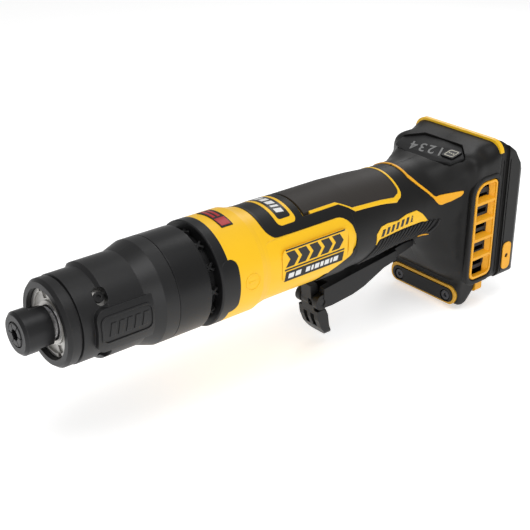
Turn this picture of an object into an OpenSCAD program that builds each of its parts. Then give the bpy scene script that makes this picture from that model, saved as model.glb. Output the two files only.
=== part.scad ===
// Cordless straight die grinder with a paddle switch and a slide-on battery foot.
// +X runs along the spindle to the nose, +Z is up and the origin is the mouth of the collet bore.
// Stations (s) are distances behind the nose, so a station s lies at x = -s.

/* [Collet and spindle] */
// Shank diameter that the collet grips
shank_d = 6.35; // [3:0.05:8]
// Diameter of the collet at its face
collet_d = 13.2; // [11:0.1:15]
// Diameter of the collet nut
nut_d = 24.2; // [22:0.1:30]
// Length of the collet nut
nut_len = 16.6; // [14:0.1:22]
// Width across the nut's wrench flats
nut_flats = 20.6; // [19.5:0.1:23]
// Diameter of the spindle at its bearings
shaft_d = 12; // [8:0.5:14]

/* [Nose] */
// Diameter of the nose plate
nose_plate_d = 38.8; // [32:0.2:41]
// Diameter of the aluminium nose housing
nose_d = 44; // [42:0.5:46]
// Outer diameter of the boot's front section
boot_front_d = 50; // [49:0.5:53]
// Outer diameter of the boot's middle section
boot_mid_d = 54; // [52:0.5:58]
// Length of the boot
boot_len = 64.8; // [58:0.2:76]

/* [Sleeve and vent] */
// Outer diameter of the sleeve
sleeve_d = 60.6; // [58:0.2:64]
// Length of the sleeve
sleeve_len = 21.4; // [16:0.2:30]
// Width of the open vent between sleeve and front ring
vent_gap = 6.4; // [4:0.2:10]
// Number of crossed webs in the vent
webs = 12; // [6:1:16]
// Width of the front ring
ring_len = 6.8; // [5:0.2:10]

/* [Motor housing] */
// Diameter of the motor housing at its front
housing_front_d = 63; // [61:0.2:68]
// Diameter of the motor housing along the grip
housing_d = 58; // [56:0.2:62]
// Length of the motor housing
housing_len = 96.6; // [90:0.5:120]
// Outer diameter of the stator
stator_d = 50; // [46:0.5:51]
// Length of the stator
stator_len = 44; // [36:1:48]
// Diameter of the rotor
rotor_d = 29; // [24:0.5:32]
// Thickness of the rubber skin
skin = 1.6; // [1:0.1:2]

/* [Handle] */
// Diameter of the handle at its thin part
handle_d = 53.6; // [52:0.2:57]
// Length of the handle up to the foot
handle_len = 72; // [66:1:84]
// Wall of the handle shells
wall = 2.6; // [2:0.1:3]

/* [Foot] */
// Width of the foot
foot_w = 75; // [68:0.5:84]
// Height of the foot above the spindle axis
foot_up = 37; // [33:0.5:42]
// Depth of the foot below the spindle axis
foot_down = 63; // [58:0.5:72]
// Length of the foot between handle and battery plate
foot_len = 51.5; // [48:0.5:62]
// Thickness of the battery plate
plate_len = 22; // [20:0.5:27]
// Distance between the battery rails' inner faces
rail_gap = 44; // [38:0.5:48]
// Width of the bumper
bumper_w = 62; // [54:0.5:66]

/* [Paddle] */
// Width of the paddle
paddle_w = 21; // [18:0.2:25]
// Length of the paddle from its pivot to the lever's pin
paddle_len = 80; // [72:0.5:84]
// Diameter of the pivot pins
pin_d = 4; // [3:0.1:4.6]
// Width of the lock lever's fin
fin_w = 18; // [14:0.5:22]

/* [Hidden] */

fine = 96;
fit = 0.05;
gap = 0.3;
over = 1;

// Stations along the spindle axis
s_nut = 0.4;
s_nut_end = s_nut + nut_len;
s_boot = s_nut_end + 0.5;
s_plate = s_boot + 3;
s_nose = s_plate + 4;
s_sleeve = s_boot + boot_len;
s_rim = s_sleeve + sleeve_len;
s_ring = s_rim + vent_gap;
s_yellow = s_ring + ring_len;
s_waist = s_yellow + 33;
s_handle = s_yellow + housing_len;
s_foot = s_handle + handle_len;
s_back = s_foot + foot_len;
s_end = s_back + plate_len;

r_thread = collet_d / 2 + 2.3;
r_shaft = shaft_d / 2;
r_nose = nose_d / 2;
r_front = housing_front_d / 2;
r_house = housing_d / 2;
r_bore = stator_d / 2 + 0.2;
r_thin = handle_d / 2;
r_in = r_thin - wall;
r_bearing = r_shaft + 6.5;
r_motor_shaft = 4;

// Screws of the nose housing, seen through slots in the boot
s_nose_screws = s_boot + 22.5;
screw_angles = [49, 131, 229, 311];

// Stations of the motor
s_fan = s_yellow + 9;
s_bracket = s_handle - 7;
s_stator_end = s_bracket - 8.6;
s_stator = s_stator_end - stator_len;
s_coupler = s_ring - 9;

// Outline of the palm panel seen from above, [station, half width]
palm_front = s_waist + 31;
palm_rear = s_handle + 44;
palm_w = 17;
palm_wide = 22;

// Paddle pivot and lever pin, [station, z]
pivot = [s_foot - 1, -23];
lever = [pivot[0] - paddle_len, -46.5];

// Controller board and the switch plunger that the paddle lifts
board_z = 6;
board_w = sqrt(r_in * r_in - (board_z + 2) * (board_z + 2)) - 0.2;
s_plunger = s_handle + 24;
r_plunger = 2.6;
z_plunger = -33;

function arc(cx, cy, r, a0, a1, n = 6) =
    [for (i = [0:n]) [cx + r * cos(a0 + (a1 - a0) * i / n), cy + r * sin(a0 + (a1 - a0) * i / n)]];
function rounded(x0, x1, y0, y1, r, n = 6) = concat(
    arc(x1 - r, y1 - r, r, 0, 90, n), arc(x0 + r, y1 - r, r, 90, 180, n),
    arc(x0 + r, y0 + r, r, 180, 270, n), arc(x1 - r, y0 + r, r, 270, 360, n));
function flip(pts) = [for (p = pts) [p[0], -p[1]]];
function back(pts) = [for (i = [len(pts) - 1:-1:0]) pts[i]];

// A turned piece: profile points are [radius, station]
module turned(profile) rotate([0, -90, 0]) rotate_extrude($fn = fine) polygon(profile);
module rod(s0, s1, r) rotate([0, -90, 0]) translate([0, 0, s0]) cylinder(h = s1 - s0, r = r, $fn = fine);
module tube(s0, s1, r0, r1) difference() {
    rod(s0, s1, r1);
    rod(s0 - over, s1 + over, r0);
}
module box(s0, s1, y0, y1, z0, z1) translate([-s1, y0, z0]) cube([s1 - s0, y1 - y0, z1 - z0]);
// A prism whose outline is seen from the side, points are [station, z]
module side(pts, y0, y1) translate([0, y1, 0]) rotate([90, 0, 0]) linear_extrude(y1 - y0)
    polygon([for (p = pts) [-p[0], p[1]]]);
// A prism whose outline is seen from above, points are [station, y]
module plan(pts, z0, z1) translate([0, 0, z0]) linear_extrude(z1 - z0) polygon([for (p = pts) [-p[0],
    p[1]]]);
// A prism whose outline is seen along the spindle, points are [y, z]
module face(pts, s0, s1) translate([-s1, 0, 0]) rotate([90, 0, 90]) linear_extrude(s1 - s0) polygon(pts);
module across(s, z, r, y0, y1) translate([-s, y1, z]) rotate([90, 0, 0]) cylinder(h = y1 - y0, r = r,
    $fn = 48);
module half(sign) box(s_yellow - 40, s_end + 20, sign > 0 ? 0 : -80, sign > 0 ? 80 : 0, -120, 80);
module both() for (sign = [1, -1]) scale([1, sign, 1]) children();

// ---------------------------------------------------------------- spindle group

module collet() color([0.35, 0.35, 0.36]) difference() {
    turned([[0, 0], [collet_d / 2 - 0.5, 0], [collet_d / 2, 0.5], [collet_d / 2, 3], [collet_d / 2 - 1.2,
        22],
        [0, 22]]);
    rod(-over, 23, shank_d / 2);
    for (a = [0, 60, 120]) rotate([a, 0, 0]) box(-over, 15, -collet_d, collet_d, -0.3, 0.3);
}

module collet_nut() color([0.16, 0.16, 0.17]) difference() {
    turned([[collet_d / 2 + 0.6, s_nut], [nut_d / 2 - 1.6, s_nut], [nut_d / 2, s_nut + 1.6],
        [nut_d / 2, s_nut_end - 0.6], [nut_d / 2 - 0.6, s_nut_end], [r_thread + 0.1, s_nut_end],
        [r_thread + 0.1, s_nut + 3.6], [collet_d / 2 + 0.6, s_nut + 3.6]]);
    for (sign = [1, -1]) rotate([25, 0, 0])
        box(s_nut_end - 8.5, s_nut_end + over, -20, 20, sign > 0 ? nut_flats / 2 : -30,
            sign > 0 ? 30 : -nut_flats / 2);
}

module spindle() color([0.62, 0.63, 0.65]) difference() {
    union() {
        rod(s_nut + 3.8, s_plate, r_thread);
        rod(s_plate, s_nose + 2, r_shaft + 1.6);
        rod(s_nose + 2, s_coupler, r_shaft);
    }
    rod(s_nut, 22.2, collet_d / 2 + 0.1);
    rod(0, 34, shank_d / 2 + 0.2);
    for (sign = [1, -1]) box(s_nut_end + 0.4, s_plate - 0.4, -20, 20, sign > 0 ? 8 : -20,
        sign > 0 ? 20 : -8);
}

module coupler() color([0.45, 0.46, 0.48]) difference() {
    rod(s_coupler - 10, s_coupler + 10, r_shaft + 4);
    rod(s_coupler - 10 - over, s_coupler, r_shaft + fit);
    rod(s_coupler - over, s_coupler + 10 + over, r_motor_shaft + fit);
}

module motor_shaft() color([0.7, 0.7, 0.72]) rod(s_coupler, s_handle + 1, r_motor_shaft);

module rotor_core() color([0.5, 0.5, 0.52])
    tube(s_stator - 1, s_stator_end + 1, r_motor_shaft + fit, rotor_d / 2 - 3);

module rotor_magnets() color([0.25, 0.25, 0.27]) tube(s_stator, s_stator_end, rotor_d / 2 - 2.9,
    rotor_d / 2);

module fan() color([0.2, 0.2, 0.21]) union() {
    tube(s_fan, s_fan + 14, r_motor_shaft + fit, 8);
    tube(s_fan + 11, s_fan + 13, 7, stator_d / 2 - 1.5);
    for (i = [0:10]) rotate([i * 360 / 11, 0, 0]) box(s_fan + 3, s_fan + 12, 7, stator_d / 2 - 2, -0.7, 0.7);
}

// ---------------------------------------------------------------- nose

module nose_plate() color([0.72, 0.73, 0.74]) difference() {
    tube(s_plate, s_nose, r_thread + 1, nose_plate_d / 2);
    tube(s_plate - over, s_plate + 1.4, r_thread + 3.2, nose_plate_d / 2 - 2.2);
    for (a = [25:90:295]) rotate([a, 0, 0]) box(s_plate - over, s_plate + 2.6, -2, 2, r_thread + 4, r_nose);
}

module nose_housing() color([0.66, 0.67, 0.68]) difference() {
    union() {
        tube(s_nose, s_yellow - 2, r_bearing, r_nose);
        tube(s_ring + 2, s_yellow - 2, r_bearing, r_front - 5);
    }
    rod(s_nose + 16, s_yellow - 14, r_nose - 4);
    rod(s_yellow - 13, s_yellow, r_nose - 4);
    for (a = screw_angles) rotate([a, 0, 0]) translate([-s_nose_screws, 0, 0]) cylinder(h = 60, r = 1.6,
        $fn = 32);
}

module nose_screws() color([0.2, 0.2, 0.2]) for (a = screw_angles) rotate([a, 0, 0])
    translate([-s_nose_screws, 0, 0]) difference() {
        union() {
            translate([0, 0, r_nose - 3.8]) cylinder(h = 4.2, r = 1.55, $fn = 32);
            translate([0, 0, r_nose]) cylinder(h = 2, r = 2.9, $fn = 48);
        }
        translate([0, 0, r_nose + 0.8]) cylinder(h = 3, r = 1.5, $fn = 6);
    }

module bearing(s0, s1, r0, r1) difference() {
    tube(s0, s1, r0 + fit, r1 - fit);
    tube(s0 - over, s0 + 0.5, r0 + 2, r1 - 2);
    tube(s1 - 0.5, s1 + over, r0 + 2, r1 - 2);
}

module front_bearing() color([0.75, 0.75, 0.77]) bearing(s_nose + 3, s_nose + 15, r_shaft, r_bearing);

module rear_spindle_bearing() color([0.75, 0.75, 0.77])
    bearing(s_coupler - 20, s_coupler - 11, r_shaft, r_bearing);

// The side badges are moulded into the boot
module badge_pad() both() intersection() {
    side(rounded(s_boot + 15, s_boot + 56.5, -13, 12, 6), 10, 40);
    rod(s_boot, s_sleeve, boot_mid_d / 2 + 1.2);
}

module rubber_boot() color([0.13, 0.13, 0.14]) difference() {
    union() {
        turned([[nose_plate_d / 2 + 0.3, s_boot], [boot_front_d / 2 - 2, s_boot],
            [boot_front_d / 2 - 0.4, s_boot + 2],
            [boot_front_d / 2 - 0.4, s_boot + 7], [boot_front_d / 2 - 1.4, s_boot + 7.3],
            [boot_front_d / 2 - 1.4, s_boot + 8.1], [boot_front_d / 2, s_boot + 8.5], [boot_front_d / 2,
                s_boot + 22.5],
            [boot_mid_d / 2, s_boot + 24.5], [boot_mid_d / 2, s_boot + 46], [sleeve_d / 2, s_boot + 56],
            [sleeve_d / 2, s_sleeve - gap], [r_nose + gap, s_sleeve - gap], [r_nose + gap, s_nose],
            [nose_plate_d / 2 + 0.3, s_nose]]);
        badge_pad();
    }
    rod(s_nose, s_sleeve, r_nose + gap);
    for (a = screw_angles) rotate([a, 0, 0]) {
        for (y = [-1.6, 1.6]) translate([-s_nose_screws, y, 10]) cylinder(h = 30, r = 3.4, $fn = 32);
        box(s_nose_screws - 3.4, s_nose_screws + 3.4, -1.6, 1.6, 10, 40);
    }
}

// ---------------------------------------------------------------- sleeve and vent

module front_sleeve() color([0.1, 0.1, 0.11]) turned([[r_nose + gap, s_sleeve], [sleeve_d / 2 - 0.4,
    s_sleeve],
    [sleeve_d / 2, s_sleeve + 0.4], [sleeve_d / 2, s_rim - 0.6], [sleeve_d / 2 - 0.6, s_rim],
    [sleeve_d / 2 - 3.4, s_rim], [sleeve_d / 2 - 3.4, s_sleeve + 3], [r_nose + gap, s_sleeve + 3]]);

module vent_cage() color([0.07, 0.07, 0.08]) union() {
    tube(s_rim - 6, s_ring + 1.5, r_nose + gap, r_nose + 2.2);
    for (i = [0:webs - 1], turn = [-40, 40]) rotate([i * 360 / webs, 0, 0])
        translate([-s_rim - vent_gap / 2, 0, r_nose + 3.4]) rotate([0, 0, turn]) cube([vent_gap, 1.2, 4],
            center = true);
}

module ring_pad(extra) both() intersection() {
    side(rounded(s_ring + 1, s_yellow + 5.4 + extra, -16 - extra, 16 + extra, 5), 10, 40);
    tube(s_ring, s_yellow + 7, r_front - 2.6, r_front + 0.1);
}

module front_ring() color([0.1, 0.1, 0.11]) union() {
    turned([[r_nose + 2.5, s_ring + 2], [r_nose + 2.5, s_ring], [r_front - 0.6, s_ring], [r_front,
        s_ring + 0.6],
        [r_front, s_yellow], [r_front - 3, s_yellow], [r_front - 3, s_ring + 2]]);
    ring_pad(0);
}

// ---------------------------------------------------------------- motor housing

// Outer radius of housing and handle as [radius, station] points, with an offset d
function grip_line(d) = [[r_house + d, s_waist], [r_house + d, s_handle + 4], [r_house - 0.9 + d,
    s_handle + 26],
    [r_thin + d, s_handle + 43], [r_thin + d, s_foot + 6]];
module band(d0, d1) turned(concat(grip_line(d1), back(grip_line(d0))));
module side_frame(d, z) side(rounded(s_yellow + 24, s_handle - 3 - d, -z, z, 9), 10, 40);

// Plan of the rubber top: its front edge, corners and width
top_w = 23.2;
module top_plan(d) plan(concat(
    [[s_handle + 30, -r_house - d], [s_handle + 30, r_house + d], [s_handle - 0.4, r_house - 0.6 + d]],
    [[s_handle - 2, top_w + 3.6 + d], [s_handle - 5, top_w + 1.9 + d], [s_handle - 11, top_w + 0.4 + d]],
    arc(s_waist + 6, top_w - 7, 7 + d, 90, 180), arc(s_waist + 6, -top_w + 7, 7 + d, 180, 270),
    [[s_handle - 11, -top_w - 0.4 - d], [s_handle - 5, -top_w - 1.9 - d], [s_handle - 2, -top_w - 3.6 - d]],
    [[s_handle - 0.4, -r_house + 0.6 - d]]), 0, 45);
palm_pts = concat([[palm_front, palm_w], [s_handle - 8, palm_w], [s_handle + 2, palm_wide],
    [palm_rear - 6, palm_wide]], arc(palm_rear - 3, palm_wide - 4, 3, 90, 0, 4));
module palm_plan(d) plan(concat([for (p = palm_pts) [p[0] - (p[0] < palm_front + 1 ? d : -d), p[1] + d]],
    back(flip([for (p = palm_pts) [p[0] - (p[0] < palm_front + 1 ? d : -d), p[1] + d]]))), 0, 45);
module badge_plan(d) plan(rounded(s_waist + 10 - d, s_waist + 24 + d, -19.6 - d, 19.6 + d, 3), 0, 45);

// The joint face between housing and handle runs forward along the underside
joint_pts = [[s_handle, 60], [s_handle, -8], [s_handle - 1.5, -14], [s_handle - 12, -28.2],
    [s_handle - 12, -120],
    [s_end + 20, -120], [s_end + 20, 60]];

module motor_housing() color([1, 0.8, 0.1]) difference() {
    union() {
        turned([[r_bore, s_yellow], [r_front, s_yellow], [r_front, s_yellow + 22], [r_front - 1.2,
            s_yellow + 26],
            [r_house, s_waist], [r_house, s_handle], [r_bore, s_handle]]);
        both() intersection() {
            side_frame(0, 17);
            rod(s_yellow + 20, s_handle, r_house + 0.8);
        }
    }
    rod(s_yellow - over, s_handle + over, r_bore);
    side(joint_pts, -60, 60);
    both() side(rounded(s_waist + 4, s_handle - 7, -9.5, 12, 4), r_house - 0.2, 60);
    both() side(rounded(s_ring, s_yellow + 5.6, -16.2, 16.2, 5), 10, 60);
    intersection() {
        top_plan(0.1);
        tube(s_waist - 2, s_handle + over, r_house - skin - 0.1, r_front + 4);
    }
}

module stator() color([0.4, 0.4, 0.42]) difference() {
    tube(s_stator, s_stator_end, rotor_d / 2 + 0.8, stator_d / 2);
    for (a = [0:60:300]) rotate([a, 0, 0]) box(s_stator - over, s_stator_end + over, rotor_d / 2 - 2,
        stator_d / 2 - 5,
        -1.2, 1.2);
}

module windings() color([0.72, 0.4, 0.2]) {
    tube(s_stator - 5, s_stator, rotor_d / 2 + 1.5, stator_d / 2 - 4);
    tube(s_stator_end, s_stator_end + 5, rotor_d / 2 + 1.5, stator_d / 2 - 4);
}

module motor_bearing() color([0.75, 0.75, 0.77]) bearing(s_bracket + 1, s_bracket + 7, r_motor_shaft, 11);

module bearing_bracket() color([0.14, 0.14, 0.15]) difference() {
    union() {
        rod(s_bracket, s_bracket + 8, 14);
        for (a = [0:60:180]) rotate([a, 0, 0]) box(s_bracket, s_bracket + 6, 12, r_bore - 0.3, -2.5, 2.5);
    }
    rod(s_bracket - over, s_bracket + 9, r_motor_shaft + 1.5);
    rod(s_bracket - over, s_bracket + 7, 11);
}

module hall_board() color([0.1, 0.35, 0.2]) tube(s_bracket - 2, s_bracket - 0.2, r_motor_shaft + 3, 18);

module top_overmold() color([0.14, 0.14, 0.15]) difference() {
    intersection() {
        top_plan(0);
        turned([[r_house - skin, s_waist - 2], [r_house + 0.6, s_waist - 2], [r_house + 0.2, s_waist + 1],
            [r_house + 0.2, s_handle], [r_house - skin, s_handle]]);
    }
    palm_plan(1.7);
    badge_plan(0.1);
}

module top_badge() color([0.95, 0.75, 0.1]) intersection() {
    badge_plan(0);
    tube(s_waist, s_handle, r_house - skin, r_house + 0.3);
}

module palm_panel() color([0.32, 0.31, 0.3]) intersection() {
    palm_plan(0);
    band(-skin, 0.1);
}

module palm_piping() color([1, 0.8, 0.1]) intersection() {
    difference() {
        palm_plan(1.6);
        palm_plan(0.1);
        box(0, palm_front + 4, -30, 30, 0, 60);
    }
    band(-skin, 0.3);
}

module small_label() color([0.7, 0.1, 0.1]) intersection() {
    plan([[s_yellow + 6, -9], [s_yellow + 15, -9], [s_yellow + 15, 13], [s_yellow + 7, 13]], 0, 45);
    tube(s_yellow, s_waist, r_front + 0.02, r_front + 0.4);
}

module side_labels() color([0.1, 0.1, 0.1]) both()
    side(rounded(s_waist + 4.6, s_handle - 7.6, -8.9, 11.4, 3.6), r_house - 0.18, r_house + 0.5);

// ---------------------------------------------------------------- handle and foot

hw = foot_w / 2;
// Stations of the foot's cross sections: [station, half width, bottom, top, corner]
foot_sections = [[s_foot - 2, r_thin - 0.2, -r_thin + 0.2, r_thin - 0.2, r_thin - 0.4],
    [s_foot + 9, r_thin + 1.4, -foot_down * 0.6, foot_up * 0.76, 22],
    [s_foot + 18, hw - 5.4, -foot_down * 0.84, foot_up * 0.8, 17], [s_foot + 27, hw, -foot_down + 2,
        foot_up * 0.85, 12],
    [s_back - 0.2, hw, -foot_down, foot_up, 9]];
toe_z = -foot_down + 1;
toe_h = 18;
s_toe = s_foot + 24;
bumper_screw_y = bumper_w / 2 - 9.5;
bumper_screw_z = toe_z - 9;

module section(f, t) face(rounded(-f[1] + t, f[1] - t, f[2] + t, f[3] - t, max(f[4] - t, 2)), f[0],
    f[0] + 0.2);
module foot_outer() {
    for (i = [0:len(foot_sections) - 2]) hull() {
        section(foot_sections[i], 0);
        section(foot_sections[i + 1], 0);
    }
    hull() {
        face(rounded(-bumper_w / 2, bumper_w / 2, toe_z - toe_h + 2, toe_z, 7), s_toe, s_toe + 9);
        face(rounded(-bumper_w / 2, bumper_w / 2, toe_z - 2, toe_z + 14, 7), s_toe + 12, s_toe + 15);
    }
}
module foot_inner() {
    hull() {
        section([s_foot - 4, r_in, -r_in, r_in, r_in - 1], 0);
        section([s_foot + 31, hw - wall - 4, -foot_down + 8, foot_up * 0.8 - 4, 10], 0);
    }
    face(rounded(-hw + wall + 4, hw - wall - 4, -foot_down + 8, foot_up * 0.8 - 4, 10), s_foot + 31,
        s_back - 3);
}

// Yellow band over the foot's rear edge: its length and how far it runs down the sides
strip_len = 3.2;
strip_drop = 7;

// Vents of the foot and the outlines of flags and grips, seen from the side
vent_s = [s_foot + 27, s_foot + 48];
vent_z = [-foot_down + 8, 13.5];
flag_pts = [[s_handle + 19, -9], [s_handle + 18, -1], [s_handle + 22, 3], [s_handle + 28, 3.6],
    [s_handle + 38, 2.4],
    [s_handle + 46, 4.2], [s_handle + 55, 4.4], [s_handle + 60, 1], [s_handle + 67, -6.4],
        [s_handle + 60, -4.6],
    [s_handle + 38, -4.8], [s_handle + 21, -5.4]];
grip_pts = concat(arc(s_handle + 22, -14, 8.5, 180, 90, 3), [[s_handle + 66, -7]],
    arc(s_handle + 66, -15, 8, 60, -80, 5), [[s_handle + 28, -24.5], [s_handle + 18, -24]]);

module handle(sign) difference() {
    intersection() {
        union() {
            rotate([20, 0, 0]) turned(concat(grip_line(0), [[r_in, s_foot + 6], [r_in, s_handle]]));
            foot_outer();
        }
        half(sign);
        side(joint_pts, -60, 60);
    }
    difference() {
        union() {
            rotate([20, 0, 0]) rod(s_waist, s_handle + handle_len, r_in);
            foot_inner();
        }
        box(pivot[0] - 7, pivot[0] + 10, -14, 14, -r_thin + 2, pivot[1] + 8);
        for (p = screw_places) across(p[0], p[1], 4, -60, 60);
    }
    intersection() {
        top_plan(0.1);
        band(-skin - 0.1, 6);
        box(s_handle - 2, s_handle, -60, 60, 0, 60);
    }
    intersection() {
        palm_plan(1.7);
        band(-skin - 0.1, 6);
    }
    for (p = screw_places) across(p[0], p[1], 1.6, -60, sign > 0 ? r_in - 8 : 60);
    for (p = screw_places) across(p[0], p[1], 3.2, -60, -r_in + 6);
    translate([-s_plunger, 0, -40]) rotate([0, 0, 45]) cylinder(h = 20, r = r_plunger + 0.4, $fn = 48);
    box(s_handle + 52, pivot[0] + 6, -hub_w - 0.5, hub_w + 0.5, -60, pivot[1] + 4.5);
    across(pivot[0], pivot[1], pin_d / 2 + fit, -60, 12);
    intersection() {
        side(flag_pts, sign > 0 ? 10 : -40, sign > 0 ? 40 : -10);
        band(-0.9, 6);
    }
    intersection() {
        side(grip_pts, sign > 0 ? 5 : -40, sign > 0 ? 40 : -5);
        band(-1.1, 6);
    }
    side(rounded(vent_s[0] - 1.5, vent_s[1] + 1, vent_z[0] - 1.5, vent_z[1] + 1.5, 6),
        sign > 0 ? hw - 3 : -60,
        sign > 0 ? 60 : -hw + 3);
    side(rounded(vent_s[0] + 4, vent_s[1] - 4, vent_z[0] + 5, vent_z[1] - 5, 3), -60, 60);
    face(rounded(-bumper_w / 2 + 1, bumper_w / 2 - 1, toe_z - toe_h + 3, toe_z - 1, 6), s_toe - over,
        s_toe + 3);
    foot_band(1);
    scale([1, sign, 1]) lower_tab();
    scale([1, sign, 1]) flank_patch(3);
    panel_pocket();
}
module handle_left() color([0.13, 0.13, 0.14]) handle(1);
module handle_right() color([0.13, 0.13, 0.14]) handle(-1);

module grip(sign) scale([1, sign, 1]) {
    intersection() {
        difference() {
            side(grip_pts, 5, 40);
            side(flag_pts, 5, 40);
        }
        band(-1, 0);
    }
    for (i = [0:13]) intersection() {
        translate([-(s_handle + 23 + i * 3.5), 20, -15]) rotate([0, 24, 0]) cube([1.4, 40, 15],
            center = true);
        band(-0.2, 0.7);
    }
}
module grip_left() color([0.18, 0.18, 0.19]) grip(1);
module grip_right() color([0.18, 0.18, 0.19]) grip(-1);

module flags() color([1, 0.8, 0.1]) both() intersection() {
    side(flag_pts, 10, 40);
    band(-0.8, 0.3);
}

// Flank of the foot seen from above, [station, half width], under the patch
flank = [[s_foot - 2.2, r_thin - 0.9], [s_foot + 9, r_thin + 1], [s_foot + 18, hw - 5.6], [s_foot + 24,
    hw - 1.9]];
module flank_patch(proud) intersection() {
    plan(concat([for (p = flank) [p[0], p[1] - 1.2]], [for (p = back(flank)) [p[0], p[1] + proud]]), 0, 12);
    side([[s_foot - 2.2, 7], [s_foot + 3, 3.6], [s_foot + 10, 3], [s_foot + 18, 3], [s_foot + 24, 5],
        [s_foot + 24, 8],
        [s_foot + 18, 8.6], [s_foot + 7, 8.6], [s_foot - 2.2, 9.8]], 10, 60);
}
// A yellow line over the handle that runs back and down into a patch on each side of the foot
module rear_piping() color([1, 0.8, 0.1]) union() {
    intersection() {
        side([[s_foot - 14.4, 60], [s_foot - 12.8, 60], [s_foot - 12.8, 21], [s_foot - 2.2, 9.8],
            [s_foot - 2.2, 7.2], [s_foot - 14.4, 19.6]], -60, 60);
        band(0.02, 0.5);
    }
    both() flank_patch(0.6);
}

module switch_module() color([0.1, 0.1, 0.1]) difference() {
    box(s_handle + 14, s_handle + 44, -9, 9, -16, board_z - gap);
    translate([-s_plunger, 0, -16 - over]) cylinder(h = 8 + over, r = r_plunger + fit, $fn = 48);
}
module switch_plunger() color([0.6, 0.6, 0.58]) translate([-s_plunger, 0, z_plunger])
    cylinder(h = -12.5 - z_plunger, r = r_plunger, $fn = 48);

module controller() color([0.1, 0.3, 0.2]) union() {
    box(s_handle + 14, s_foot + 2, 0.3 - board_w, board_w - 0.3, board_z, board_z + 2);
    for (y = [-9, 0, 9]) box(s_handle + 20, s_handle + 40, y - 3, y + 3, board_z + 1, board_z + 9);
    translate([0, 0, board_z - 4]) rod(s_foot - 14, s_foot - 2, 5);
}

// A band over the foot's rear edge, round both of its upper corners
module foot_band(proud) difference() {
    face(rounded(-hw - proud / 2, hw + proud / 2, -foot_down, foot_up + proud, 9), s_back - strip_len,
        s_back);
    face(rounded(-hw + 1.2, hw - 1.2, -foot_down, foot_up - 1.2, 8), s_back - strip_len - over,
        s_back + over);
    box(s_back - strip_len - over, s_back + over, -60, 60, -80, foot_up - strip_drop);
}
module foot_strip() color([1, 0.8, 0.1]) foot_band(0.8);

module vent_insert(sign) scale([1, sign, 1]) difference() {
    side(rounded(vent_s[0], vent_s[1], vent_z[0], vent_z[1], 5), hw - 2.9, hw + 0.6);
    for (i = [0:4]) side(rounded(vent_s[0] + 5, vent_s[1] - 5, vent_z[0] + 6 + i * 12,
        vent_z[0] + 14 + i * 12, 1.4),
        0, 60);
}
module vent_insert_left() color([1, 0.72, 0.1]) vent_insert(1);
module vent_insert_right() color([1, 0.72, 0.1]) vent_insert(-1);

module vent_grilles() color([0.05, 0.05, 0.05]) both() difference() {
    side(rounded(vent_s[0] + 4.2, vent_s[1] - 4.2, vent_z[0] + 5.2, vent_z[1] - 5.2, 3), hw - wall - 3.8,
        hw - 3.1);
    for (i = [0:9]) box(vent_s[0] + 6, vent_s[1] - 6, 0, 60, vent_z[0] + 8 + i * 5.4,
        vent_z[0] + 11 + i * 5.4);
}

// Yellow tabs under the foot, between its toe and the battery plate
module lower_tab() face(rounded(bumper_w / 2 - 7, bumper_w / 2 + 1, -foot_down - 7.5, -foot_down + 0.5, 2),
    s_foot + 41.5, s_foot + 48);
module lower_tabs() color([1, 0.75, 0.1]) both() lower_tab();

module side_patches() color([1, 0.75, 0.1]) both() difference() {
    side(rounded(s_end - 14, s_end - 5.6, -foot_down + 6, -foot_down + 26, 3.4), hw + 0.5, hw + 1.1);
    across(s_end - 9.8, -foot_down + 16, 1.6, hw, hw + 2);
}

module bumper() color([0.25, 0.25, 0.26]) difference() {
    face(rounded(-bumper_w / 2 + 3.2, bumper_w / 2 - 3.2, toe_z - toe_h + 4.6, toe_z - 3.2, 5),
        s_toe - 1.4, s_toe + 3);
    for (y = [-bumper_screw_y, bumper_screw_y]) {
        translate([0, y, bumper_screw_z]) rod(s_toe - 3, s_toe + 1, 4.3);
        translate([0, y, bumper_screw_z]) rod(s_toe - 3, s_toe + 9, 2.1);
    }
}
module bumper_border() color([0.85, 0.65, 0.2]) difference() {
    face(rounded(-bumper_w / 2 + 1.1, bumper_w / 2 - 1.1, toe_z - toe_h + 3.1, toe_z - 1.1, 6),
        s_toe - 0.6, s_toe + 3);
    face(rounded(-bumper_w / 2 + 3.1, bumper_w / 2 - 3.1, toe_z - toe_h + 4.5, toe_z - 3.1, 5),
        s_toe - 3, s_toe + 5);
}
module bumper_screws() color([0.12, 0.12, 0.12]) for (y = [-bumper_screw_y, bumper_screw_y])
    translate([0, y, bumper_screw_z]) difference() {
        union() {
            rod(s_toe - 1, s_toe + 1, 3.4);
            rod(s_toe, s_toe + 2.9, 2);
        }
        rotate([0, -90, 0]) translate([0, 0, s_toe - 3]) cylinder(h = 3, r = 1.6, $fn = 6);
    }

// Screws that clamp the two shells together, with their heads on the right-hand side
screw_places = [[s_handle + 8, 15], [s_handle + 8, -15], [s_foot + 12, -16], [s_foot + 12, 14]];
module shell_screws() color([0.25, 0.25, 0.25]) for (p = screw_places) difference() {
    union() {
        across(p[0], p[1], 1.5, -r_in + 5, r_in - 9);
        across(p[0], p[1], 3, -r_in + 4, -r_in + 5.9);
    }
    translate([-p[0], -r_in + 5, p[1]]) rotate([90, 0, 0]) cylinder(h = 3, r = 1.5, $fn = 6);
}

// ---------------------------------------------------------------- speed panel

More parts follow.
